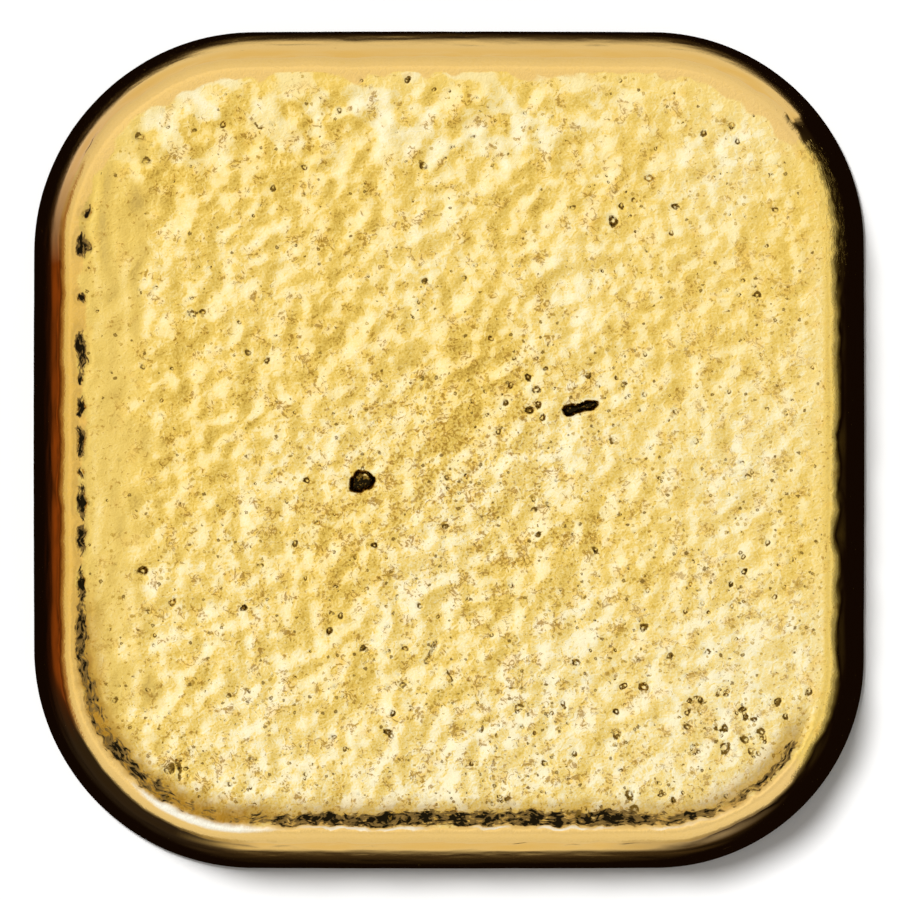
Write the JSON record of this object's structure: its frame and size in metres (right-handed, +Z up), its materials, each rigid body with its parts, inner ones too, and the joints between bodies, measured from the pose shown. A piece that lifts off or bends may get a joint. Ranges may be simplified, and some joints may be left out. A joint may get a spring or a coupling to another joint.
{
  "type": "gold ingot",
  "caption": "Small square cast gold bar with large rounded corners, drafted walls, a rounded rim and a gas-pitted mould face; raw stock that lies flat on its foot.",
  "frame": {"origin": "middle of the foot, the flat face that the bar lies on", "axes": "+Z up out of the mould face, +X to the right and +Y to the back as the bar lies with its mould face up"},
  "size_m": [0.02, 0.0202, 0.0045],
  "materials": {
    "gold": "satin"
  },
  "bodies": {
    "root": {"ingot": "gold"}
  },
  "joints": []
}
